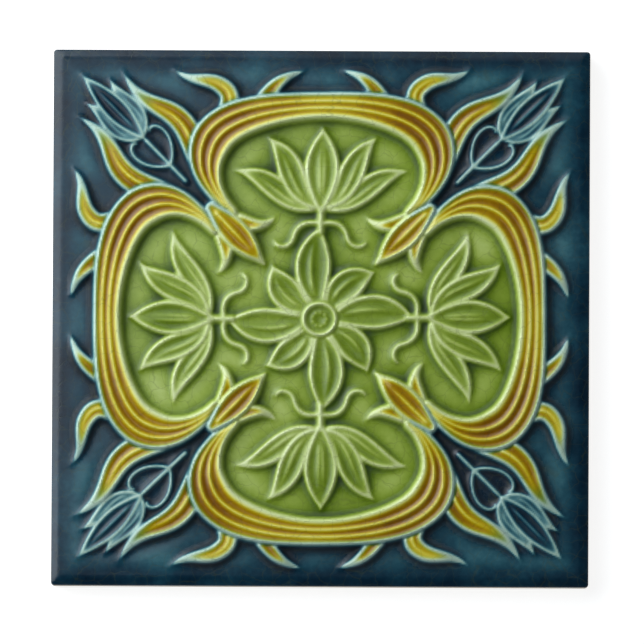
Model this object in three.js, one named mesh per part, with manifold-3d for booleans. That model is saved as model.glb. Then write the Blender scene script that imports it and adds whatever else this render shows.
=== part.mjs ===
// A Victorian relief tile: one piece of pressed earthenware, glazed on its face.
// Millimetres, +Z up. The tile lies on its back, with the origin at the middle of
// its back, and its ornament is the same in all eight eighths of the square.

import * as THREE from "three";
import { mergeVertices } from "three/addons/utils/BufferGeometryUtils.js";
import Module from "manifold-3d";

const wasm = await Module();
wasm.setup();

// The pressed body
const TILE_SIDE = 152.4;
const BODY_THICKNESS = 8.4;
const CORNER_RADIUS = 0.9;
const FACE_ARRIS_WIDTH = 2.2;
const FACE_ARRIS_DROP = 0.5;
const BACK_CHAMFER = 0.5;

// The keying grooves across the back, which hold the mortar
const GROOVE_COUNT = 8;
const GROOVE_WIDTH = 9;
const GROOVE_LAND = 6.6;
const GROOVE_DEPTH = 1.0;
const BACK_MARGIN = 9;

// The ornament reaches to this far from the tile's edge. Its lines are drawn in
// hundredths of that reach, and its widths and heights are real sizes.
const EDGE_MARGIN = 3.2;
const ORNAMENT_REACH = TILE_SIDE / 2 - EDGE_MARGIN;
const RELIEF_ROOT = 1.5;

// Raised edges and sunk channels, as heights over the ground
const BAND_CREST = 2.7;
const BAND_CHANNEL = 1.25;
const LEAF_CREST = 2.8;
const LEAF_CHANNEL = 1.4;
const FLAME_CREST = 2.2;
const FLAME_CHANNEL = 0.95;
const PETAL_CREST = 1.35;
const PETAL_CHANNEL = 0.6;
const BUD_CREST = 1.2;
const BUD_CHANNEL = 0.5;
const LINE_CREST = 1.05;

// Half widths at the foot of each form
const BAND_HALF_AT_CORNER = 6.6;
const BAND_HALF_AT_SIDE = 4.6;
const LEAF_HALF = 4.3;
const HOOK_HALF = 2.8;
const LONG_FLAME_HALF = 4.2;
const SIDE_FLAME_HALF = 3.3;
const SHORT_FLAME_HALF = 2.9;
const LONG_PETAL_HALF = 5.2;
const SHORT_PETAL_HALF = 4.6;
const LILY_HALF = 5.0;
const LILY_SIDE_HALF = 3.8;
const LILY_LOW_HALF = 3.4;
const BUD_HALF = 3.7;
const BUD_SIDE_HALF = 2.5;
const LINE_HALF = 1.0;
const STEM_HALF = 1.25;
const EDGE_HALF = 0.9;

// How wide the band is where it starts, as a share of its full width
const BAND_START_SHARE = 0.42;

// The eye of the central rosette
const EYE_RADIUS = 4.5;
const EYE_RING_HALF = 0.8;
const EYE_RING_CREST = 1.7;
const EYE_DOME = 0.9;
const EYE_SIDES = 24;

const SEGMENTS_PER_CURVE = 4;

function solidOf(geometry) {
  const bare = geometry.index ? geometry.toNonIndexed() : geometry.clone();
  bare.deleteAttribute("normal");
  bare.deleteAttribute("uv");
  const merged = mergeVertices(bare, 1e-4);
  return new wasm.Manifold(
    new wasm.Mesh({
      numProp: 3,
      vertProperties: merged.attributes.position.array,
      triVerts: new Uint32Array(merged.index.array),
    }),
  );
}

function geometryOf(solid) {
  const mesh = solid.getMesh();
  return new THREE.BufferGeometry()
    .setAttribute("position", new THREE.BufferAttribute(mesh.vertProperties, 3))
    .setIndex(new THREE.BufferAttribute(mesh.triVerts, 1));
}

function roundedSquare(side, radius) {
  const h = side / 2;
  const shape = new THREE.Shape();
  const quarter = Math.PI / 2;
  [
    [1, -1],
    [1, 1],
    [-1, 1],
    [-1, -1],
  ].forEach(([sx, sy], i) => {
    const start = (i - 1) * quarter;
    shape.absarc(sx * (h - radius), sy * (h - radius), radius, start, start + quarter);
  });
  return shape;
}

// A square plate with one bevel: at its top if `atTop`, or else at its foot.
function plate(side, bottom, top, bevelWidth, atTop) {
  const geometry = new THREE.ExtrudeGeometry(roundedSquare(side, CORNER_RADIUS), {
    depth: top - bottom,
    bevelEnabled: false,
    steps: 1,
    curveSegments: 3,
  });
  const inner = (side - 2 * bevelWidth) / side;
  const position = geometry.getAttribute("position");
  for (let i = 0; i < position.count; i++) {
    const high = position.getZ(i) > (top - bottom) / 2;
    const scale = high === atTop ? inner : 1;
    position.setXYZ(
      i,
      position.getX(i) * scale,
      position.getY(i) * scale,
      bottom + position.getZ(i),
    );
  }
  return solidOf(geometry);
}

// The slab is three plates: the chamfer round the back, the straight sides, and the
// soft arris that runs round the face.
function slab() {
  const shoulder = BODY_THICKNESS - FACE_ARRIS_DROP;
  const foot = plate(TILE_SIDE, 0, BACK_CHAMFER, BACK_CHAMFER, false);
  const sides = plate(TILE_SIDE, BACK_CHAMFER, shoulder, 0, true);
  const face = plate(TILE_SIDE, shoulder, BODY_THICKNESS, FACE_ARRIS_WIDTH, true);
  return foot.add(sides).add(face);
}

function keyingGrooves() {
  const length = TILE_SIDE - 2 * BACK_MARGIN;
  const pitch = GROOVE_WIDTH + GROOVE_LAND;
  const cuts = [];
  for (let i = 0; i < GROOVE_COUNT; i++) {
    const y = (i - (GROOVE_COUNT - 1) / 2) * pitch;
    const box = new THREE.BoxGeometry(length, GROOVE_WIDTH, 2 * GROOVE_DEPTH);
    box.translate(0, y, 0);
    cuts.push(solidOf(box));
  }
  return wasm.Manifold.union(cuts);
}

// Points along a chain of cubic curves, with the left-hand normal and the share of
// the way along at each. The drawing is in hundredths of the ornament's reach.
function centreline(drawing) {
  const points = [];
  const at = (i) =>
    new THREE.Vector2(...drawing[i]).multiplyScalar(ORNAMENT_REACH / 100);
  for (let k = 0; k + 3 < drawing.length; k += 3) {
    const curve = new THREE.CubicBezierCurve(at(k), at(k + 1), at(k + 2), at(k + 3));
    const first = k === 0 ? 0 : 1;
    for (let i = first; i <= SEGMENTS_PER_CURVE; i++) {
      const t = i / SEGMENTS_PER_CURVE;
      const point = curve.getPoint(t);
      const tangent = curve.getTangent(t);
      points.push({ point, normal: new THREE.Vector2(-tangent.y, tangent.x) });
    }
  }
  return points.map((p, i) => ({ ...p, share: i / (points.length - 1) }));
}

// One raised form: a section that is swept along a line and changes width as it goes.
// `section` lists [across, height] from the right foot to the left one, where across
// is in half widths. The form is rooted in the slab.
function raised({ drawing, halfWidth, section, fade = () => 1 }) {
  const stations = centreline(drawing);
  const count = section.length + 2;
  const positions = [];
  for (const { point, normal, share } of stations) {
    const half = halfWidth(share);
    const ring = [
      [-1, -RELIEF_ROOT],
      ...section.map(([across, height]) => [across, height * fade(share)]),
      [1, -RELIEF_ROOT],
    ];
    for (const [across, height] of ring)
      positions.push(
        point.x + normal.x * half * across,
        point.y + normal.y * half * across,
        BODY_THICKNESS + height,
      );
  }
  const index = [];
  for (let s = 0; s + 1 < stations.length; s++)
    for (let i = 0; i < count; i++) {
      const j = (i + 1) % count;
      const here = s * count;
      const next = here + count;
      index.push(here + i, next + j, here + j);
      index.push(here + i, next + i, next + j);
    }
  const last = (stations.length - 1) * count;
  for (let i = 1; i + 1 < count; i++) {
    index.push(0, i, i + 1);
    index.push(last, last + i + 1, last + i);
  }
  return new wasm.Manifold(
    new wasm.Mesh({
      numProp: 3,
      vertProperties: new Float32Array(positions),
      triVerts: new Uint32Array(index),
    }),
  );
}

// Sections, with raised edges and one or more sunk channels between them
function channelled(crest, channel, half, ribs = 0) {
  const edge = 1 - EDGE_HALF / half;
  const section = [
    [-1, 0],
    [-edge, crest],
  ];
  for (let i = 0; i <= ribs; i++) {
    const from = -edge + (2 * edge * i) / (ribs + 1);
    const to = -edge + (2 * edge * (i + 1)) / (ribs + 1);
    section.push([(from + to) / 2, channel]);
    section.push([to, crest]);
  }
  section.push([1, 0]);
  return section;
}

const ridge = (crest) => [
  [-1, 0],
  [0, crest],
  [1, 0],
];

const ease = (a, b, x) => THREE.MathUtils.smoothstep(x, a, b);

// A leaf's half width: `root` of its full width where it starts, full at `middle`,
// and a fine point at its tip.
function leafWidth(half, middle, root) {
  return (share) => {
    const up = root + (1 - root) * Math.sin((Math.PI / 2) * Math.min(share / middle, 1));
    const down = Math.cos((Math.PI / 2) * Math.max((share - middle) / (1 - middle), 0));
    return half * Math.max(share < middle ? up : down, 0.12);
  };
}

const sinkAtTip = (lowest, from) => (share) =>
  lowest + (1 - lowest) * (1 - ease(from, 1, share));

// A drawing of half a form, carried on across the X axis as its own mirror image
function acrossAxis(half) {
  const twin = half.map(([x, y]) => [x, -y]).reverse();
  return [...half, ...twin.slice(1)];
}

const fromEitherEnd = (share) => 1 - Math.abs(2 * share - 1);

// Amber: the reeded band of a lobe, and the leaves that grow from it
const band = {
  drawing: acrossAxis([
    [41, 35],
    [48, 41.5],
    [58, 48.5],
    [69, 43],
    [79, 38],
    [83, 19],
    [83, 0],
  ]),
  halfWidth: (share) => {
    const along = fromEitherEnd(share);
    const full = THREE.MathUtils.lerp(BAND_HALF_AT_CORNER, BAND_HALF_AT_SIDE, ease(0.4, 1, along));
    return full * THREE.MathUtils.lerp(BAND_START_SHARE, 1, ease(0.02, 0.42, along));
  },
  section: channelled(BAND_CREST, BAND_CHANNEL, BAND_HALF_AT_SIDE, 2),
};

const longFlame = {
  drawing: [
    [57, 46.5],
    [66, 50.5],
    [75, 50],
    [80.5, 60.5],
    [84, 67.5],
    [85.5, 73],
    [96.5, 78.5],
  ],
  halfWidth: leafWidth(LONG_FLAME_HALF, 0.3, 0.75),
  section: channelled(FLAME_CREST, FLAME_CHANNEL, LONG_FLAME_HALF),
  fade: sinkAtTip(0.12, 0.6),
};

const sideFlame = {
  drawing: [
    [73, 41],
    [80, 39],
    [86, 31.5],
    [91, 40],
    [94, 45],
    [91.5, 52],
    [97.5, 58.5],
  ],
  halfWidth: leafWidth(SIDE_FLAME_HALF, 0.35, 0.8),
  section: channelled(FLAME_CREST, FLAME_CHANNEL, SIDE_FLAME_HALF),
  fade: sinkAtTip(0.12, 0.6),
};

const shortFlame = {
  drawing: [
    [80, 27.5],
    [88, 20],
    [94, 19.5],
    [97, 6.5],
  ],
  halfWidth: leafWidth(SHORT_FLAME_HALF, 0.3, 0.8),
  section: channelled(FLAME_CREST, FLAME_CHANNEL, SHORT_FLAME_HALF),
  fade: sinkAtTip(0.12, 0.6),
};

const hook = {
  drawing: [
    [40.5, 39],
    [37.5, 31],
    [33, 22.5],
    [40.5, 17],
  ],
  halfWidth: leafWidth(HOOK_HALF, 0.3, 0.8),
  section: channelled(FLAME_CREST, FLAME_CHANNEL, HOOK_HALF),
  fade: sinkAtTip(0.12, 0.6),
};

const clasp = {
  drawing: [
    [42.5, 42.5],
    [35.5, 35.5],
    [28, 28],
    [21, 21],
  ],
  halfWidth: leafWidth(LEAF_HALF, 0.45, 0.5),
  section: channelled(LEAF_CREST, LEAF_CHANNEL, LEAF_HALF, 1),
  fade: sinkAtTip(0.3, 0.7),
};

// Green: the rosette's petals and a lily in each lobe
const longPetal = {
  drawing: [
    [5.5, 0],
    [15, 3.5],
    [24.5, 3.3],
    [36.5, 0],
  ],
  halfWidth: leafWidth(LONG_PETAL_HALF, 0.5, 0.35),
  section: channelled(PETAL_CREST, PETAL_CHANNEL, LONG_PETAL_HALF),
  fade: sinkAtTip(0.3, 0.7),
};

const shortPetal = {
  drawing: [
    [5.5, 0],
    [12.5, 3],
    [19, 2.7],
    [28, -2],
  ],
  halfWidth: leafWidth(SHORT_PETAL_HALF, 0.5, 0.4),
  section: channelled(PETAL_CREST, PETAL_CHANNEL, SHORT_PETAL_HALF),
  fade: sinkAtTip(0.3, 0.7),
};

const lilyMiddle = {
  drawing: [
    [43, 0],
    [52, 0],
    [63, 0],
    [74.5, 0],
  ],
  halfWidth: leafWidth(LILY_HALF, 0.5, 0.3),
  section: channelled(PETAL_CREST, PETAL_CHANNEL, LILY_HALF),
  fade: sinkAtTip(0.3, 0.7),
};

const lilySide = {
  drawing: [
    [44, 1.5],
    [49.5, 13],
    [61, 9],
    [70.5, 21],
  ],
  halfWidth: leafWidth(LILY_SIDE_HALF, 0.5, 0.35),
  section: channelled(PETAL_CREST, PETAL_CHANNEL, LILY_SIDE_HALF),
  fade: sinkAtTip(0.3, 0.7),
};

const lilyLow = {
  drawing: [
    [44, 1.5],
    [43, 15],
    [56, 17],
    [57.5, 33.5],
  ],
  halfWidth: leafWidth(LILY_LOW_HALF, 0.5, 0.4),
  section: channelled(PETAL_CREST, PETAL_CHANNEL, LILY_LOW_HALF),
  fade: sinkAtTip(0.3, 0.7),
};

const lilyStem = {
  drawing: [
    [34, 0],
    [38, 0],
    [41, 0],
    [45, 0],
  ],
  halfWidth: () => STEM_HALF,
  section: ridge(PETAL_CREST),
};

const lilyTendril = {
  drawing: [
    [37.5, 1],
    [38.5, 7],
    [35.5, 9.5],
    [32, 10.3],
    [27.5, 11.2],
    [26.8, 17.3],
    [31.5, 18],
  ],
  halfWidth: () => LINE_HALF,
  section: ridge(LINE_CREST),
};

// Blue: an opening bud on a stem in each corner, and a curl on either side
const bud = {
  drawing: [
    [70.5, 70.5],
    [77, 77],
    [85, 85],
    [94.5, 94.5],
  ],
  halfWidth: leafWidth(BUD_HALF, 0.42, 0.35),
  section: channelled(BUD_CREST, BUD_CHANNEL, BUD_HALF),
  fade: sinkAtTip(0.3, 0.7),
};

const budSide = {
  drawing: [
    [71.5, 70],
    [81, 68.5],
    [82.5, 78],
    [93, 83.5],
  ],
  halfWidth: leafWidth(BUD_SIDE_HALF, 0.45, 0.5),
  section: channelled(BUD_CREST, BUD_CHANNEL, BUD_SIDE_HALF),
  fade: sinkAtTip(0.3, 0.7),
};

const budStem = {
  drawing: [
    [53, 53],
    [58, 58],
    [63, 63],
    [71, 71],
  ],
  halfWidth: () => LINE_HALF,
  section: ridge(LINE_CREST),
};

const budCurl = {
  drawing: [
    [59, 59],
    [64, 57.5],
    [70.5, 58.5],
    [73.5, 62.5],
    [76, 66],
    [73.5, 69],
    [71, 66.5],
  ],
  halfWidth: () => LINE_HALF,
  section: ridge(LINE_CREST),
};

// A form's copies: four quarter turns, each with a mirrored twin if `mirrored`
function copies(form, { mirrored = false, startAngle = 0 } = {}) {
  const solid = raised(form);
  const drawn = mirrored ? [solid, solid.mirror([0, 1, 0])] : [solid];
  return [0, 90, 180, 270].flatMap((turn) =>
    drawn.map((each) => each.rotate([0, 0, startAngle + turn])),
  );
}

function rosetteEye() {
  const profile = [
    [0, -RELIEF_ROOT],
    [EYE_RADIUS + EYE_RING_HALF, -RELIEF_ROOT],
    [EYE_RADIUS + EYE_RING_HALF, 0],
    [EYE_RADIUS, EYE_RING_CREST],
    [EYE_RADIUS - EYE_RING_HALF, EYE_DOME],
    [0, EYE_DOME],
  ].map(([r, height]) => new THREE.Vector2(r, BODY_THICKNESS + height));
  const lathe = new THREE.LatheGeometry(profile, EYE_SIDES);
  lathe.rotateX(Math.PI / 2);
  return solidOf(lathe);
}

const both = { mirrored: true };
const forms = [
  ...copies(band),
  ...copies(longFlame, both),
  ...copies(sideFlame, both),
  ...copies(shortFlame, both),
  ...copies(hook, both),
  ...copies(clasp),
  ...copies(longPetal),
  ...copies(shortPetal, { startAngle: 45 }),
  ...copies(lilyMiddle),
  ...copies(lilySide, both),
  ...copies(lilyLow, both),
  ...copies(lilyStem),
  ...copies(lilyTendril, both),
  ...copies(bud),
  ...copies(budSide, both),
  ...copies(budStem),
  ...copies(budCurl, both),
  rosetteEye(),
];

const solid = wasm.Manifold.union([slab(), ...forms]).subtract(keyingGrooves());

const tile = new THREE.Mesh(
  geometryOf(solid),
  new THREE.MeshStandardMaterial({ color: 0x35596a, roughness: 0.15, metalness: 0 }),
);
tile.name = "tile";

const model = new THREE.Group();
model.add(tile);

export default model;
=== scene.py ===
# The finish of a Victorian relief tile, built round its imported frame.
# Metres, +Z up. The tile lies on its back with its glazed face up.

import math

import bmesh
import bpy
import numpy as np
from mathutils import Matrix, Vector, noise


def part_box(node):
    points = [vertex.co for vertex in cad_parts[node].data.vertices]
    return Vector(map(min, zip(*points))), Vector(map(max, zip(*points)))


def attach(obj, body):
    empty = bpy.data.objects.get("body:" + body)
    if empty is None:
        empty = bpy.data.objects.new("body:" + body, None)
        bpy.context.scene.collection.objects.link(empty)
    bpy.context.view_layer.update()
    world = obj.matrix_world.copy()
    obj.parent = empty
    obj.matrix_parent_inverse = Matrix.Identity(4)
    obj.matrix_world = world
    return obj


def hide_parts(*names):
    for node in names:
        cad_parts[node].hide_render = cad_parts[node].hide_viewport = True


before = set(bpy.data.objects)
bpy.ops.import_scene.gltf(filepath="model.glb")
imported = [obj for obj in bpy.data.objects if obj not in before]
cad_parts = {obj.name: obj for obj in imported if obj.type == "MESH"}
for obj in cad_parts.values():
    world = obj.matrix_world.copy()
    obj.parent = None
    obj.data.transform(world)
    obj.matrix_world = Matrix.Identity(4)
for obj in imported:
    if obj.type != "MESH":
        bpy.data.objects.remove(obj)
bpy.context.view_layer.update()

# ---------------------------------------------------------------------------
# The carved relief. The mould was carved by hand, so the ornament repeats eight
# times but drifts a little from copy to copy. It is worked out here as a map of
# heights over the ground, in millimetres, which the clay and the glaze then follow.

mm = 0.001
low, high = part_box("tile")
half_side = (high.x - low.x) / 2 / mm
ground = 8.4
edge_margin = 3.2
reach = half_side - edge_margin
map_pitch = 0.2

map_count = int(2 * half_side / map_pitch) + 1
map_line = np.linspace(-half_side, half_side, map_count)
map_x, map_y = np.meshgrid(map_line, map_line)


def ease(a, b, x):
    """A smooth step from 0 at `a` to 1 at `b`."""
    t = np.clip((x - a) / (b - a), 0, 1)
    return t * t * (3 - 2 * t)


def hump(off, breadth=1):
    """A round hump, 1 high at its middle."""
    return np.exp(-((off / breadth) ** 2))


def softened(field, radius):
    """A map blurred over a radius, as clay slumps or glaze levels."""
    waves = np.fft.fftfreq(map_count, map_pitch)
    half_waves = np.fft.rfftfreq(map_count, map_pitch)
    falloff = np.exp(-2 * (np.pi * radius) ** 2 * (waves[:, None] ** 2 + half_waves[None] ** 2))
    return np.fft.irfft2(np.fft.rfft2(field) * falloff, field.shape)


def drawn(*points, steps=16):
    """A line along a chain of cubic curves, drawn in hundredths of the reach."""
    p = np.array(points, float) * reach / 100
    t = np.linspace(0, 1, steps, endpoint=False)[:, None]
    parts = [
        (1 - t) ** 3 * a + 3 * (1 - t) ** 2 * t * b + 3 * (1 - t) * t * t * c + t**3 * d
        for a, b, c, d in (p[k : k + 4] for k in range(0, len(p) - 1, 3))
    ]
    return np.concatenate(parts + [p[-1:]])


def follow(place, line, margin):
    """For each spot near a line: its distance, which side it is on, and how far along."""
    x, y = place
    lowest, highest = line.min(0) - margin, line.max(0) + margin
    close = (x > lowest[0]) & (x < highest[0]) & (y > lowest[1]) & (y < highest[1])
    cx, cy = x[close], y[close]
    away = np.full(cx.shape, np.inf)
    side = np.zeros(cx.shape)
    share = np.zeros(cx.shape)
    steps = np.diff(line, axis=0)
    lengths = np.hypot(steps[:, 0], steps[:, 1])
    run = np.concatenate([[0], np.cumsum(lengths)])
    for start, step, length, before in zip(line, steps / lengths[:, None], lengths, run):
        rx, ry = cx - start[0], cy - start[1]
        along = np.clip(rx * step[0] + ry * step[1], 0, length)
        off = np.hypot(rx - along * step[0], ry - along * step[1])
        nearer = off < away
        away = np.where(nearer, off, away)
        side = np.where(nearer, np.sign(step[0] * ry - step[1] * rx), side)
        share = np.where(nearer, (before + along) / run[-1], share)
    return close, away, side, share


def spread(close, value, rest=0.0):
    """A value at the close spots, set into a map of the whole face."""
    field = np.full(map_x.shape, rest)
    field[close] = value
    return field


outside = -9.0
form_margin = 2
rib_breadth = 0.72
ridge_share = 0.6
skirt_breadth = 2.9
most_flank = 0.7
flank_thinning = 1.8


def hollowed(place, line, half_width, crest, hollow, ribs=(), rim=0.6, flank=1.0, fade=None):
    """A leaf, petal or band: raised rims and narrower ribs, with hollows between them.

    `half_width` reaches to the foot, and the rim falls to the ground over `flank`.
    `ribs` holds each rib's place across, from -1 to 1, and its strength along.
    Gives the heights, how deep in a hollow each spot lies, how far inside the rim
    it is, and how far along the line.
    """
    widest = half_width(np.linspace(0, 1, 50)).max()
    close, away, side, share = follow(place, line, widest + form_margin)
    run_out = np.minimum(flank, most_flank * half_width(share))
    core = half_width(share) - run_out
    depth = np.ones(away.shape)
    for spot, strength in ((-1, None), (1, None), *ribs):
        breadth = (rim(share) if callable(rim) else rim) * (rib_breadth if strength else 1)
        off = (side * away - spot * core) / breadth
        rise = ridge_share * hump(off) + (1 - ridge_share) * hump(off, skirt_breadth)
        depth = depth * (1 - rise * (strength(share) if strength else 1))
    down = np.clip((away - core) / run_out, 0, 1)
    height = np.where(away < core, crest - (crest - hollow) * depth, crest * ease(1, 0, down))
    depth = np.where(away < core, depth, down**flank_thinning)
    if fade is not None:
        height = height * fade(share)
    return (
        spread(close, height),
        spread(close, depth, 1.0),
        spread(close, core - away, outside),
        spread(close, share),
    )


thread_margin = 3
thread_tip = 0.3
thread_taper = 0.15
thread_roundness = 1.1
thread_skirt = 1.4


def thread(place, line, half, crest):
    """A plain raised line that thins out and sinks towards its end."""
    close, away, _, share = follow(place, line, thread_margin)
    full = thread_tip + (1 - thread_tip) * ease(0, thread_taper, 1 - share)
    off = away / (half * full)
    sunk = (1 + thread_tip) * full - thread_tip
    height = crest * sunk * np.exp(-(off**2) ** thread_roundness)
    depth = np.clip(off / thread_skirt, 0, 1) ** 1.5
    return spread(close, height), spread(close, depth, 1.0)


def blade(half, full_at, root, extra):
    """The half width of a leaf or petal: widest at `full_at`, with a pointed tip."""

    def width(share):
        up = root + (1 - root) * np.sin(np.pi / 2 * np.clip(share / full_at, 0, 1))
        down = np.cos(np.pi / 2 * np.clip((share - full_at) / (1 - full_at), 0, 1)) ** 0.9
        return half * np.where(share < full_at, up, down) + extra

    return width


def sinking(lowest, start):
    """How a form's height fades from `start` to its tip."""
    return lambda share: lowest + (1 - lowest) * ease(1, start, share)


def vein(strength, start, end):
    """A rib that rises out of the root and dies away before the tip."""
    return lambda share: strength * ease(0.02, start, share) * ease(1, end, share)


def steady(strength):
    """A rib that is as strong all along."""
    return lambda share: strength


bare_height = 0.02
cut_start = 0.25


class Layer:
    """Forms laid over each other: what the top one says counts.

    `inner` is how far a spot lies inside a form's rim, and `tip` how fully the form
    is coloured there. A form presses down what is under it, fully at `cut`.
    """

    def __init__(self):
        self.height = np.zeros(map_x.shape)
        self.depth = np.ones(map_x.shape)
        self.inner = np.full(map_x.shape, outside)
        self.tip = np.ones(map_x.shape)

    def lay(self, height, depth, inner=outside, tip=1.0, cut=0.9):
        under = self.height * (1 - ease(cut_start * cut, cut, height))
        on_top = height >= under
        self.height = np.where(on_top, height, under)
        on_top &= height > bare_height
        self.depth = np.where(on_top, depth, self.depth)
        self.inner = np.where(on_top, inner, self.inner)
        self.tip = np.where(on_top, tip, self.tip)


carver_drift = 0.3
narrow_share = 0.6


def stray(along, across, broad, narrow, aslant, first, second):
    """How far the carver's hand strayed: a broad wave, and a narrower one aslant."""
    broad_wave = np.sin(across / broad + first)
    narrow_wave = np.sin(along / narrow + second + across / aslant)
    return carver_drift * (broad_wave + narrow_share * narrow_wave)


def quarter(x, y):
    """Each spot turned by quarter turns to lie round the X axis."""
    turns = np.round(np.arctan2(y, x) / (np.pi / 2)) * np.pi / 2
    return x * np.cos(turns) + y * np.sin(turns), y * np.cos(turns) - x * np.sin(turns)


# Each spot's place in its lobe, in its corner, and in its eighth of the face
spot_x = map_x + stray(map_x, map_y, 17, 11, 29, 1, 2.2)
spot_y = map_y + stray(map_y, map_x, 19, 12.5, -23, 2, 0.4)
lobe = quarter(spot_x, spot_y)
slant = np.sqrt(0.5)
corner = quarter((spot_x + spot_y) * slant, (spot_y - spot_x) * slant)
eighth = (
    np.maximum(np.abs(spot_x), np.abs(spot_y)),
    np.minimum(np.abs(spot_x), np.abs(spot_y)),
)

# Amber: flame leaves, the reeded band over their roots, and the clasps over the band
amber = Layer()
flame_hollow = 1.1
flame_rim = 0.8
flame_flank = 1.3
flame_colour_ends = 0.92
flame_colour_full = 0.6
long_flame = drawn(
    (57, 46.5), (66, 50.5), (75, 50), (80.5, 60.5), (84, 67.5), (85.5, 73), (96.5, 78.5)
)
side_flame = drawn((73, 41), (80, 39), (86, 31.5), (91, 40), (94, 45), (91.5, 52), (97.5, 58.5))
short_flame = drawn((80, 27.5), (88, 20), (94, 19.5), (97, 6.5))
hook = drawn((40.5, 39), (37.5, 31), (33, 22.5), (40.5, 17))
for line, width, crest, ribs in (
    (long_flame, blade(4.2, 0.3, 0.75, 0.15), 2.3, ((0.12, vein(0.9, 0.03, 0.3)),)),
    (side_flame, blade(3.3, 0.35, 0.8, 0.15), 2.2, ((-0.1, vein(0.85, 0.03, 0.3)),)),
    (short_flame, blade(2.9, 0.3, 0.8, 0.15), 2.1, ()),
    (hook, blade(2.8, 0.3, 0.8, 0.15), 2.1, ()),
):
    height, depth, inner, share = hollowed(
        eighth,
        line,
        width,
        crest,
        flame_hollow,
        ribs,
        rim=flame_rim,
        flank=flame_flank,
        fade=sinking(0.12, 0.6),
    )
    amber.lay(height, depth, inner, ease(flame_colour_ends, flame_colour_full, share))

band_crest = 2.7
band_hollow = 1.6
band_flank = 1.5
band_half_at_corner = 6.7
band_half_at_side = 4.7
band_root = 0.42
band_rim_at_root = 0.38
band_rim_growth = 0.34
band_line = drawn((41, 35), (48, 41.5), (58, 48.5), (69, 43), (79, 38), (83, 19), (83, 0))


def band_width(share):
    narrowing = (band_half_at_corner - band_half_at_side) * ease(0.4, 1, share)
    opening = band_root + (1 - band_root) * ease(0.02, 0.42, share)
    return (band_half_at_corner - narrowing) * opening


height, depth, inner, _ = hollowed(
    eighth,
    band_line,
    band_width,
    band_crest,
    band_hollow,
    ((-0.82, steady(0.7)), (-0.22, steady(0.92)), (0.4, steady(0.9))),
    rim=lambda share: band_rim_at_root + band_rim_growth * ease(0, 0.4, share),
    flank=band_flank,
)
amber.lay(height, depth, inner, cut=1.4)

clasp_crest = 2.8
clasp_hollow = 1.6
clasp_glaze = 0.72
height, depth, inner, _ = hollowed(
    eighth,
    drawn((42.5, 42.5), (35.5, 35.5), (28, 28), (21, 21)),
    blade(4.3, 0.45, 0.5, 0.2),
    clasp_crest,
    clasp_hollow,
    ((0.0, vein(0.85, 0.1, 0.4)),),
    flank=1.2,
    fade=sinking(0.3, 0.7),
)
amber.lay(height, clasp_glaze * depth, inner)

# Green: a lily in each lobe, and the whirling rosette of the middle
green = Layer()
petal_crest = 1.35
petal_hollow = 0.3
petal_vein = ((0.15, vein(0.75, 0.3, 0.4)),)
for place, line, width in (
    (eighth, drawn((44, 1.5), (43, 15), (56, 17), (57.5, 33.5)), blade(3.4, 0.5, 0.4, 0.25)),
    (eighth, drawn((44, 1.5), (49.5, 13), (61, 9), (70.5, 21)), blade(3.8, 0.5, 0.35, 0.25)),
    (eighth, drawn((43, 0), (52, 0), (63, 0), (74.5, 0)), blade(5.0, 0.5, 0.3, 0.25)),
    (corner, drawn((5.5, 0), (12.5, 3), (19, 2.7), (28, -2)), blade(4.6, 0.5, 0.4, 0.25)),
    (lobe, drawn((5.5, 0), (15, 3.5), (24.5, 3.3), (36.5, 0)), blade(5.2, 0.5, 0.35, 0.25)),
):
    height, depth, _, _ = hollowed(
        place,
        line,
        width,
        petal_crest,
        petal_hollow,
        petal_vein,
        rim=0.7,
        fade=sinking(0.3, 0.7),
    )
    green.lay(height, depth, cut=0.5)
stalk = drawn((34, 0), (38, 0), (41, 0), (45, 0))
tendril = drawn(
    (37.5, 1), (38.5, 7), (35.5, 9.5), (32, 10.3), (27.5, 11.2), (26.8, 17.3), (31.5, 18)
)
for line, half, crest in ((stalk, 1.05, 1.25), (tendril, 0.8, 1.0)):
    height, depth = thread(eighth, line, half, crest)
    green.lay(height, depth, cut=2.0)

# The rosette's eye: a raised ring with a knot of stamens in it
eye_radius = 4.5
ring_crest = 1.7
ring_breadth = 0.85
stamen_count = 9
stamen_radius = 2.0
stamen_breadth = 0.7
stamen_floor = 0.45
stamen_rise = 0.55
from_centre = np.hypot(spot_x, spot_y)
in_eye = from_centre < eye_radius
ring = hump(from_centre - eye_radius, ring_breadth)
beads = 0.75 + 0.25 * np.cos(stamen_count * np.arctan2(spot_y, spot_x))
stamens = hump(from_centre - stamen_radius, stamen_breadth) * beads
green.lay(np.where(in_eye, 0.0, ring_crest * ring), 1 - ring, cut=0.6)
eye_height = np.maximum(ring_crest * ring, stamen_floor + stamen_rise * stamens)
green.height = np.where(in_eye, eye_height, green.height)
green.depth = np.where(in_eye, 1 - np.maximum(ring, 0.75 * stamens), green.depth)

# Blue: an opening bud on its stem in each corner, with a curl on either side
blue = Layer()
bud_crest = 1.2
bud_hollow = 0.25
curl_crest = 1.1
bud_vein = ((0.0, vein(0.8, 0.25, 0.5)),)
for line, width in (
    (drawn((71.5, 70), (81, 68.5), (82.5, 78), (93, 83.5)), blade(2.5, 0.45, 0.5, 0.2)),
    (drawn((70.5, 70.5), (77, 77), (85, 85), (94.5, 94.5)), blade(3.7, 0.42, 0.35, 0.2)),
):
    height, depth, _, _ = hollowed(
        eighth,
        line,
        width,
        bud_crest,
        bud_hollow,
        bud_vein,
        rim=0.65,
        flank=0.9,
        fade=sinking(0.3, 0.7),
    )
    blue.lay(height, depth, cut=0.5)
stem = drawn((53, 53), (58, 58), (63, 63), (71, 71))
curl = drawn((59, 59), (64, 57.5), (70.5, 58.5), (73.5, 62.5), (76, 66), (73.5, 69), (71, 66.5))
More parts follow.
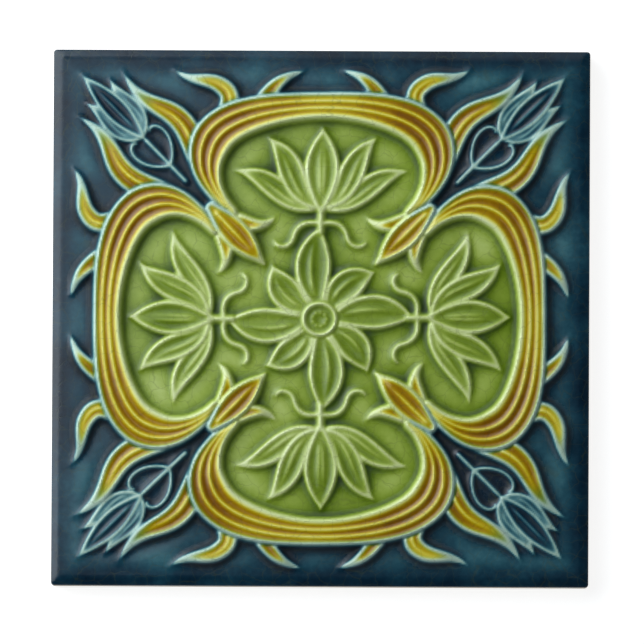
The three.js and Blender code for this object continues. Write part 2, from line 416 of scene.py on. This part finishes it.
for line, half in ((stem, 0.9), (curl, 0.75)):
    height, depth = thread(eighth, line, half, curl_crest)
    blue.lay(height, depth, cut=2.0)

# Inside the band the ground is green, and outside it is blue
surely_inside = 0.74 * reach
surely_outside = 0.84 * reach
close, _, band_side, _ = follow(eighth, band_line, 2 * half_side)
inside = spread(close, (band_side < 0) * 1.0)
inside = np.where(eighth[0] + eighth[1] < surely_inside, 1.0, inside)
inside = np.where(eighth[0] > surely_outside, 0.0, inside)

# Firing rounds the clay: crests a little, and the feet and hollows more
crest_rounding = 0.27
foot_rounding = 0.4
hollow_rounding = 0.2
lower_height = np.where(inside > 0.5, green.height, blue.height)
lower_depth = np.where(inside > 0.5, green.depth, blue.depth)
relief = np.maximum(amber.height, lower_height)
hollows = softened(np.where(amber.height > lower_height, amber.depth, lower_depth), hollow_rounding)
rounded = np.maximum(softened(relief, crest_rounding), softened(relief, foot_rounding))
relief = np.clip(rounded, 0, high.z / mm - ground)

# ---------------------------------------------------------------------------
# The glaze. Coloured lead glazes were brushed on over the pale clay: they ran off
# the crests and pooled in the hollows, so their depth alone makes every colour
# from cream to brown, and from aqua to navy.

foot_height = 0.25
beside_reach = 1.6
near_reach = 4.0
open_reach = 3.6
raised = (relief > foot_height) * 1.0
on_relief = ease(0.12, 0.5, relief)
off_relief = 1 - on_relief
beside = ease(0.05, 0.8, softened(raised, beside_reach)) * off_relief
near_forms = ease(0.1, 0.75, softened(raised, near_reach)) * off_relief
from_rim = half_side - np.maximum(np.abs(map_x), np.abs(map_y))
clear_of_forms = 1 - ease(0.02, 0.45, softened(raised, open_reach))
open_ground = clear_of_forms * ease(2.0, 12.0, from_rim) * off_relief

# Which glaze covers each spot; a blur is how far two glazes ran into each other
brush_blur = 0.25
ground_blur = 0.3
amber_reach = ease(-0.1, 0.9, amber.inner) * amber.tip * (amber.height > 0.1)
amber_cover = softened(amber_reach, brush_blur)
inner_ground = softened(inside, ground_blur)
green_cover = inner_ground * (1 - amber_cover)
blue_cover = (1 - inner_ground) * (1 - amber_cover)

amber_on_crests = 0.15
amber_in_hollows = 1.75
amber_pooled = 0.65
amber_below = 0.9
amber_run_reach = 1.2
amber_run = softened(amber_cover, amber_run_reach) * (1 - amber_cover) * off_relief
amber_depth = amber_cover * (
    amber_on_crests
    + amber_in_hollows * ease(0.04, 0.75, hollows)
    + amber_pooled * ease(0.55, 1.0, hollows)
)
amber_depth = amber_depth + amber_below * amber_run

green_on_crests = 0.28
green_in_hollows = 1.1
green_on_ground = 0.56
green_beside = 1.35
green_near = 0.95
green_swept = 0.27
green_depth = green_cover * (
    on_relief * (green_on_crests + green_in_hollows * ease(0.0, 0.8, hollows))
    + off_relief
    * (
        green_on_ground
        + green_beside * beside
        + green_near * near_forms
        - green_swept * open_ground
    )
)

blue_on_crests = 0.17
blue_in_hollows = 1.15
blue_on_ground = 1.0
blue_beside = 0.7
blue_at_rim = 0.3
blue_swept = 0.48
blue_depth = blue_cover * (
    on_relief * (blue_on_crests + blue_in_hollows * ease(0.05, 0.65, hollows))
    + off_relief
    * (
        blue_on_ground
        + blue_beside * beside
        + blue_at_rim * ease(9.0, 1.0, from_rim)
        - blue_swept * open_ground
    )
)


def bending(field):
    """How sharply a map bends, more than 0 in an angle and less on a crest."""
    slopes = [np.gradient(field, map_pitch, axis=k) for k in (0, 1)]
    return sum(np.gradient(slope, map_pitch, axis=k) for k, slope in enumerate(slopes))


# Old dirt sits in the angles at the foot of the relief, where no cloth reaches
soil_rounding = 0.45
soil_blur = 0.3
angles = ease(0.12, 1.0, bending(softened(relief, soil_rounding)))
soil = softened(angles * (1 - amber_cover), soil_blur)

# Open ground swells slightly, as the pressed clay did when it left the mould
swell_height = 0.28
surface = relief + swell_height * open_ground


def read_map(field, x, y):
    """A map's value at points given in metres."""
    last = map_count - 1.001
    u = np.clip((x / mm + half_side) / map_pitch, 0, last)
    v = np.clip((y / mm + half_side) / map_pitch, 0, last)
    i, j = u.astype(int), v.astype(int)
    a, b = u - i, v - j
    top = field[j, i] * (1 - a) + field[j, i + 1] * a
    bottom = field[j + 1, i] * (1 - a) + field[j + 1, i + 1] * a
    return top * (1 - b) + bottom * b


# ---------------------------------------------------------------------------
# The tile itself: earthenware pressed in a mould, one piece, with a soft arris
# round its face, an uneven glaze line on its edges, and keying grooves in its back.

face_cells = 174
corner_radius = 0.9
nose_radius = 0.5
arris_width = 2.2
arris_drop = 0.5
glaze_lip = 0.12
back_chamfer = 0.5

bm = bmesh.new()
face_half = half_side - nose_radius
bmesh.ops.create_grid(bm, x_segments=face_cells, y_segments=face_cells, size=face_half * mm)


def places():
    """Where every point of the mesh is."""
    return np.array([v.co[:] for v in bm.verts])


# Finer cells where the relief bends, and at the corners
busy_slope = 0.22
busy_blur = 0.35
corner_zone = (face_half - 1.6) * mm
slope_y, slope_x = np.gradient(relief, map_pitch)
busy = softened(np.abs(bending(relief)) + 0.5 * np.hypot(slope_x, slope_y), busy_blur)
at = places()
bm.verts.index_update()
lively = read_map(busy, at[:, 0], at[:, 1]) > busy_slope
lively |= (np.abs(at[:, 0]) > corner_zone) & (np.abs(at[:, 1]) > corner_zone)
bmesh.ops.subdivide_edges(
    bm,
    edges=[e for e in bm.edges if lively[e.verts[0].index] and lively[e.verts[1].index]],
    cuts=1,
    use_grid_fill=True,
    use_single_edge=True,
)

# Round the corners
inner_corner = face_half - corner_radius


def rounded_place(past, other):
    """A corner square's coordinate, from 0 to 1, drawn in to a quarter circle."""
    return inner_corner + corner_radius * past * math.sqrt(1 - other * other / 2)


for v in bm.verts:
    u = (abs(v.co.x) / mm - inner_corner) / corner_radius
    w = (abs(v.co.y) / mm - inner_corner) / corner_radius
    if u > 0 and w > 0:
        v.co.x = math.copysign(rounded_place(u, w), v.co.x) * mm
        v.co.y = math.copysign(rounded_place(w, u), v.co.y) * mm

at = places()
beyond = np.maximum(np.abs(at[:, :2]) / mm - inner_corner, 0)
to_side = half_side - inner_corner - np.hypot(beyond[:, 0], beyond[:, 1])
to_side = np.where(beyond.min(1) > 0, to_side, half_side - np.abs(at[:, :2]).max(1) / mm)
arris = arris_drop * np.clip((arris_width - to_side) / (arris_width - nose_radius), 0, 1)
heights = (ground + read_map(surface, at[:, 0], at[:, 1]) - arris) * mm
for v, z in zip(bm.verts, heights):
    v.co.z = z

# The sides: a round nose, glaze down to an uneven line with drips, then bare clay
glaze_ends = 6.7
drip_span = 6
drip_threshold = 0.2
drip_length = 5
thick_edge = 0.15


def wander(point, span, seed):
    """A slow uneven drift, from -1 to 1, along the tile's edges."""
    return noise.noise(Vector((point.x / mm / span, point.y / mm / span, seed)))


def glaze_line(point):
    """How high the glaze ends over the back."""
    drip = max(wander(point, drip_span, 3.1) - drip_threshold, 0) * drip_length
    return glaze_ends + 0.6 * wander(point, 16, 1.3) + 0.3 * wander(point, 4, 5.7) - drip


# Each ring round the sides, from the top: its inset, and its height over the back
shoulder = ground - arris_drop
nose = ((0.25, 0.07), (0.07, 0.24), (0.0, 0.45))
nose_ends = shoulder - nose[-1][1]
edge_rings = [
    *((inset, lambda p, drop=drop: shoulder - drop) for inset, drop in nose),
    (0.0, lambda p: 0.5 * (nose_ends + glaze_line(p))),
    (0.0, lambda p: glaze_line(p) + thick_edge),
    (glaze_lip, glaze_line),
    (glaze_lip, lambda p: 0.5 * glaze_line(p)),
    (glaze_lip, lambda p: back_chamfer),
    (glaze_lip + back_chamfer, lambda p: 0.0),
]
clay_from = len(nose) + 3
inset_before = nose_radius
edge_loop = [e for e in bm.edges if e.is_boundary]
clay_faces = []
for count, (inset, height) in enumerate(edge_rings):
    grown = bmesh.ops.extrude_edge_only(bm, edges=edge_loop)["geom"]
    ring = [v for v in grown if isinstance(v, bmesh.types.BMVert)]
    scale = (half_side - inset) / (half_side - inset_before)
    bmesh.ops.scale(bm, verts=ring, vec=(scale, scale, 1))
    for v in ring:
        v.co.z = height(v.co) * mm
    if count >= clay_from:
        clay_faces += [f for f in grown if isinstance(f, bmesh.types.BMFace)]
    edge_loop = [e for e in grown if isinstance(e, bmesh.types.BMEdge) and e.is_boundary]
    inset_before = inset

# The back, and the grooves pressed into it
groove_count = 8
groove_width = 9
groove_land = 6.6
groove_depth = 1.0
groove_slope = 0.7
back_margin = 9
groove_half = half_side - back_margin
groove_pitch = groove_width + groove_land
middle_row = (groove_count - 1) / 2
cut_precision = 1e-7

back = bmesh.ops.contextual_create(bm, geom=edge_loop)["faces"]
cuts = [(Vector((s * groove_half, 0, 0)), Vector((1, 0, 0))) for s in (-1, 1)]
for k in range(groove_count):
    middle = (k - middle_row) * groove_pitch
    for s in (-1, 1):
        cuts.append((Vector((0, middle + s * groove_width / 2, 0)), Vector((0, 1, 0))))
flat = list(back)
for spot, across in cuts:
    touched = dict.fromkeys(flat)
    for f in flat:
        touched.update(dict.fromkeys([*f.edges, *f.verts]))
    made = bmesh.ops.bisect_plane(
        bm, geom=list(touched), plane_co=spot * mm, plane_no=across, dist=cut_precision
    )
    flat = [g for g in made["geom"] if isinstance(g, bmesh.types.BMFace)]


def in_groove(face):
    """Whether a flat face of the back is the mouth of a groove."""
    middle = face.calc_center_median() / mm
    row = (middle.y / groove_pitch + middle_row) % 1
    off = min(row, 1 - row) * groove_pitch
    rows_reach = middle_row * groove_pitch + groove_width / 2
    return abs(middle.x) < groove_half and off < groove_width / 2 and abs(middle.y) < rows_reach


bmesh.ops.recalc_face_normals(bm, faces=bm.faces)
walls = bmesh.ops.inset_region(
    bm,
    faces=[f for f in flat if in_groove(f)],
    thickness=groove_slope * mm,
    depth=-groove_depth * mm,
    use_even_offset=True,
)["faces"]
clay_faces += flat + walls
bmesh.ops.recalc_face_normals(bm, faces=bm.faces)
for f in bm.faces:
    f.smooth = True
for f in clay_faces:
    f.material_index = 1
bmesh.ops.triangulate(bm, faces=[f for f in bm.faces if len(f.verts) > 4])

sharp_from = 35
tile_mesh = bpy.data.meshes.new("relief_tile")
bm.to_mesh(tile_mesh)
bm.free()
at = np.zeros(len(tile_mesh.vertices) * 3)
tile_mesh.vertices.foreach_get("co", at)
at = at.reshape(-1, 3)
for name, field in (
    ("amber_depth", amber_depth),
    ("green_depth", green_depth),
    ("blue_depth", blue_depth),
    ("soil", soil),
):
    measure = tile_mesh.attributes.new(name, "FLOAT", "POINT")
    measure.data.foreach_set("value", read_map(field, at[:, 0], at[:, 1]))
tile_mesh.set_sharp_from_angle(angle=math.radians(sharp_from))
tile = bpy.data.objects.new("relief_tile", tile_mesh)
bpy.context.scene.collection.objects.link(tile)


# The glazed face and the bare clay are two finishes of the one piece.
def put(tree, kind, wires=None, **settings):
    """Adds a node, with its settings, and its inputs as values or as links."""
    node = tree.nodes.new(kind)
    for name, value in settings.items():
        setattr(node, name, value)
    for name, value in (wires or {}).items():
        socket = node.inputs[name]
        if isinstance(value, bpy.types.NodeSocket):
            tree.links.new(value, socket)
        else:
            socket.default_value = value
    return node


def maths(tree, operation, *terms):
    """The result of one step of arithmetic."""
    return put(tree, "ShaderNodeMath", dict(enumerate(terms)), operation=operation).outputs[0]


def ranged(tree, value, start, end, at_start, at_end, curve="LINEAR"):
    """A value carried from one range to another."""
    wires = dict(enumerate((value, start, end, at_start, at_end)))
    return put(tree, "ShaderNodeMapRange", wires, interpolation_type=curve).outputs[0]


def blended(tree, share, under, over, blend="MIX"):
    """One colour over another."""
    wires = {0: share, 6: under, 7: over}
    return put(tree, "ShaderNodeMix", wires, data_type="RGBA", blend_type=blend).outputs[2]


def cloudy(tree, vector, scale, detail):
    """A soft random pattern."""
    return put(tree, "ShaderNodeTexNoise", {"Vector": vector, "Scale": scale, "Detail": detail})


def new_group(name, inputs, outputs):
    """A node group, with what it is given and what it has to give."""
    tree = bpy.data.node_groups.new(name, "ShaderNodeTree")
    for direction, wanted in (("INPUT", inputs), ("OUTPUT", outputs)):
        for socket_name, (kind, value) in wanted.items():
            made = tree.interface.new_socket(
                socket_name, in_out=direction, socket_type="NodeSocket" + kind
            )
            if value is not None:
                made.default_value = value
    given = tree.nodes.new("NodeGroupInput").outputs
    return tree, given, tree.nodes.new("NodeGroupOutput").inputs


# One coloured glaze over what lies under it: the deeper it is, the more it takes
glaze_coat, given, result = new_group(
    "coloured_glaze",
    {"Under": ("Color", (1, 1, 1, 1)), "Glaze": ("Color", (1, 1, 1, 1)), "Depth": ("Float", 1.0)},
    {"Color": ("Color", None)},
)
parts = put(glaze_coat, "ShaderNodeSeparateColor", {"Color": given["Glaze"]}).outputs
filtered = put(
    glaze_coat,
    "ShaderNodeCombineColor",
    {c: maths(glaze_coat, "POWER", parts[c], given["Depth"]) for c in ("Red", "Green", "Blue")},
)
product = blended(glaze_coat, 1.0, given["Under"], filtered.outputs[0], "MULTIPLY")
glaze_coat.links.new(product, result["Color"])

# The fine net of cracks that an old glaze gets as its body slowly swells
crack_wobble_scale = 420.0
crack_wobble = (0.0022, 0.0022, 0.0)
crazing, given, result = new_group(
    "crazing",
    {"Vector": ("Vector", None), "Scale": ("Float", 200.0), "Width": ("Float", 0.02)},
    {"Lines": ("Float", None)},
)
wobble = cloudy(crazing, given["Vector"], crack_wobble_scale, 2.0)
bent = put(
    crazing,
    "ShaderNodeVectorMath",
    {0: wobble.outputs["Color"], 1: crack_wobble, 2: given["Vector"]},
    operation="MULTIPLY_ADD",
)
cells = put(
    crazing,
    "ShaderNodeTexVoronoi",
    {"Vector": bent.outputs[0], "Scale": given["Scale"]},
    feature="DISTANCE_TO_EDGE",
)
lines = ranged(crazing, cells.outputs["Distance"], 0.0, given["Width"], 1.0, 0.0, "SMOOTHSTEP")
crazing.links.new(lines, result["Lines"])

# Uneven brushing and flow: soft clouds with a finer grain over them
clouding, given, result = new_group(
    "clouding",
    {
        "Vector": ("Vector", None),
        "Cloud Scale": ("Float", 60.0),
        "Grain Scale": ("Float", 900.0),
        "Cloud": ("Float", 0.2),
        "Grain": ("Float", 0.1),
    },
    {"Value": ("Float", None)},
)
unevenness = 1.0
for name, detail in (("Cloud", 3.0), ("Grain", 2.0)):
    pattern = cloudy(clouding, given["Vector"], given[name + " Scale"], detail)
    centred = maths(clouding, "SUBTRACT", pattern.outputs[0], 0.5)
    unevenness = maths(clouding, "MULTIPLY_ADD", centred, given[name], unevenness)
clouding.links.new(unevenness, result["Value"])


def new_material(name):
    """A material, its nodes, and its finish's settings."""
    material = bpy.data.materials.new(name)
    material.use_nodes = True
    return material, material.node_tree, material.node_tree.nodes["Principled BSDF"].inputs


# The glazed face: pale clay under the three glazes, crazed, and dull where dirty
clay_white = (0.82, 0.87, 0.66, 1)
amber_glaze = (0.53, 0.345, 0.006, 1)
green_glaze = (0.305, 0.39, 0.071, 1)
blue_glaze = (0.0085, 0.049, 0.102, 1)
flow_look = {"Cloud Scale": 62.0, "Cloud": 1.15, "Grain Scale": 700.0, "Grain": 0.25}
craze_look = {"Scale": 230.0, "Width": 0.035}
craze_stain = 0.25
craze_dip = -0.25
craze_dirt = (0.05, 0.06, 0.02, 1)
smear_scale = 90.0
glossiest = 0.17
dullest = 0.25
soil_dullness = 0.5
glaze_index = 1.46
peel_scale = 380.0
skin_strength = 0.35
skin_height = 0.00008

glaze, tree, finish = new_material("majolica_glaze")
where = tree.nodes.new("ShaderNodeTexCoord").outputs["Object"]
flow = put(tree, "ShaderNodeGroup", {"Vector": where, **flow_look}, node_tree=clouding)
colour = clay_white
for name, tint in (
    ("amber_depth", amber_glaze),
    ("green_depth", green_glaze),
    ("blue_depth", blue_glaze),
):
    depth = put(tree, "ShaderNodeAttribute", attribute_name=name)
    run = maths(tree, "MULTIPLY", depth.outputs["Fac"], flow.outputs["Value"])
    layers = {"Under": colour, "Glaze": tint, "Depth": run}
    colour = put(tree, "ShaderNodeGroup", layers, node_tree=glaze_coat).outputs["Color"]
cracks = put(tree, "ShaderNodeGroup", {"Vector": where, **craze_look}, node_tree=crazing)
stain = maths(tree, "MULTIPLY", cracks.outputs["Lines"], craze_stain)
tree.links.new(blended(tree, stain, colour, craze_dirt), finish["Base Color"])
smear = cloudy(tree, where, smear_scale, 3.0)
rough = ranged(tree, smear.outputs[0], 0.3, 0.7, glossiest, dullest)
dust = put(tree, "ShaderNodeAttribute", attribute_name="soil")
rough = maths(tree, "MULTIPLY_ADD", dust.outputs["Fac"], soil_dullness, rough)
tree.links.new(rough, finish["Roughness"])
finish["IOR"].default_value = glaze_index
peel = cloudy(tree, where, peel_scale, 1.0)
dip = maths(tree, "MULTIPLY_ADD", cracks.outputs["Lines"], craze_dip, peel.outputs[0])
skin = put(
    tree, "ShaderNodeBump", {"Height": dip, "Strength": skin_strength, "Distance": skin_height}
)
tree.links.new(skin.outputs[0], finish["Normal"])

# The bare clay of the sides and back: buff, dull and gritty
clay_dark = (0.29, 0.25, 0.18, 1)
clay_light = (0.5, 0.45, 0.36, 1)
clay_roughness = 0.85
clay_look = {"Cloud Scale": 45.0, "Cloud": 0.35, "Grain Scale": 1600.0, "Grain": 0.3}
grit_scale = 1500.0
grit_strength = 0.6
grit_height = 0.0002

clay, tree, finish = new_material("bare_clay")
where = tree.nodes.new("ShaderNodeTexCoord").outputs["Object"]
tone = put(tree, "ShaderNodeGroup", {"Vector": where, **clay_look}, node_tree=clouding)
toned = blended(tree, tone.outputs["Value"], clay_dark, clay_light)
tree.links.new(toned, finish["Base Color"])
finish["Roughness"].default_value = clay_roughness
grit = cloudy(tree, where, grit_scale, 4.0)
skin = put(
    tree,
    "ShaderNodeBump",
    {"Height": grit.outputs[0], "Strength": grit_strength, "Distance": grit_height},
)
tree.links.new(skin.outputs[0], finish["Normal"])

tile_mesh.materials.append(glaze)
tile_mesh.materials.append(clay)
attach(tile, "root")
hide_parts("tile")

# ---------------------------------------------------------------------------
# The white table that the tile lies on. It glows by itself, like a photographer's
# light table, so it comes out plain white with hardly a shadow, as in the photo.

floor_half = 3.0
table_shade = 0.4
table_roughness = 0.9
table_glow = 0.82

bm = bmesh.new()
bmesh.ops.create_grid(bm, x_segments=1, y_segments=1, size=floor_half)
floor_mesh = bpy.data.meshes.new("floor")
bm.to_mesh(floor_mesh)
bm.free()
floor = bpy.data.objects.new("floor", floor_mesh)
bpy.context.scene.collection.objects.link(floor)
paint, tree, finish = new_material("white_table")
finish["Base Color"].default_value = (table_shade, table_shade, table_shade, 1)
finish["Roughness"].default_value = table_roughness
finish["Emission Color"].default_value = (1, 1, 1, 1)
finish["Emission Strength"].default_value = table_glow
floor_mesh.materials.append(paint)

# ---------------------------------------------------------------------------
# Light: a window low on the upper left with a glow round it, a faint lamp close
# over that side of the tile, and a dim surround that is dark overhead.

lamp_colour = (0.88, 0.95, 1)
sky_colour = (0.9, 0.96, 1, 1)
glow_near_table = 0.42
glow_overhead = 0.03
window_glow = 1.2


def towards(azimuth, elevation):
    """A direction from the tile; azimuth 0 is towards the viewer, 90 to the right."""
    a, e = math.radians(azimuth), math.radians(elevation)
    return Vector((math.sin(a) * math.cos(e), -math.cos(a) * math.cos(e), math.sin(e)))


def soft_box(name, direction, distance, size, watts):
    """A square lamp that faces the tile."""
    lamp = bpy.data.lights.new(name, "AREA")
    lamp.size = size
    lamp.energy = watts
    lamp.color = lamp_colour
    stand = direction * distance
    turn = (-stand).to_track_quat("-Z", "Y").to_matrix().to_4x4()
    box = bpy.data.objects.new(name, lamp)
    box.matrix_world = Matrix.Translation(stand) @ turn
    bpy.context.scene.collection.objects.link(box)


soft_box("overhead_lamp", towards(244, 72), distance=0.35, size=0.17, watts=0.105)
soft_box("window", towards(240, 29), distance=0.42, size=0.58, watts=2.6)

world = bpy.data.worlds.new("studio")
bpy.context.scene.world = world
world.use_nodes = True
sky = world.node_tree
ray = put(sky, "ShaderNodeTexCoord").outputs["Generated"]
height = put(sky, "ShaderNodeSeparateXYZ", {0: ray}).outputs["Z"]
surround = ranged(sky, height, 0.2, 0.9, glow_near_table, glow_overhead)
facing = put(sky, "ShaderNodeVectorMath", {0: ray, 1: towards(228, 40)}, operation="DOT_PRODUCT")
glow = ranged(sky, facing.outputs["Value"], 0.65, 0.97, 0.0, window_glow, "SMOOTHSTEP")
backdrop = sky.nodes["Background"].inputs
sky.links.new(maths(sky, "ADD", surround, glow), backdrop["Strength"])
backdrop["Color"].default_value = sky_colour
bpy.context.scene.view_settings.view_transform = "Standard"

# ---------------------------------------------------------------------------
# The camera of the photograph: a long lens, almost straight above the tile.

picture_side = 644
tile_side_in_picture = 537
tile_middle_in_picture = (320.9, 318.2)
camera_distance = 6.0
camera_elevation = 86.2
picture_roll = 0.28
sensor_width = 36

view_width = 2 * half_side * mm * picture_side / tile_side_in_picture
camera_data = bpy.data.cameras.new("camera")
camera_data.sensor_width = sensor_width
camera_data.lens = sensor_width * camera_distance / view_width
camera = bpy.data.objects.new("camera", camera_data)
bpy.context.scene.collection.objects.link(camera)
per_pixel = view_width / picture_side
aim = Vector(
    (
        (picture_side / 2 - tile_middle_in_picture[0]) * per_pixel,
        (tile_middle_in_picture[1] - picture_side / 2) * per_pixel,
        ground * mm,
    )
)
tilt = math.radians(camera_elevation)
back_off = Vector((0, -math.cos(tilt), math.sin(tilt)))
look = (-back_off).to_track_quat("-Z", "Y").to_matrix().to_4x4()
roll = Matrix.Rotation(math.radians(picture_roll), 4, "Z")
camera.matrix_world = Matrix.Translation(aim + back_off * camera_distance) @ look @ roll
bpy.context.scene.camera = camera
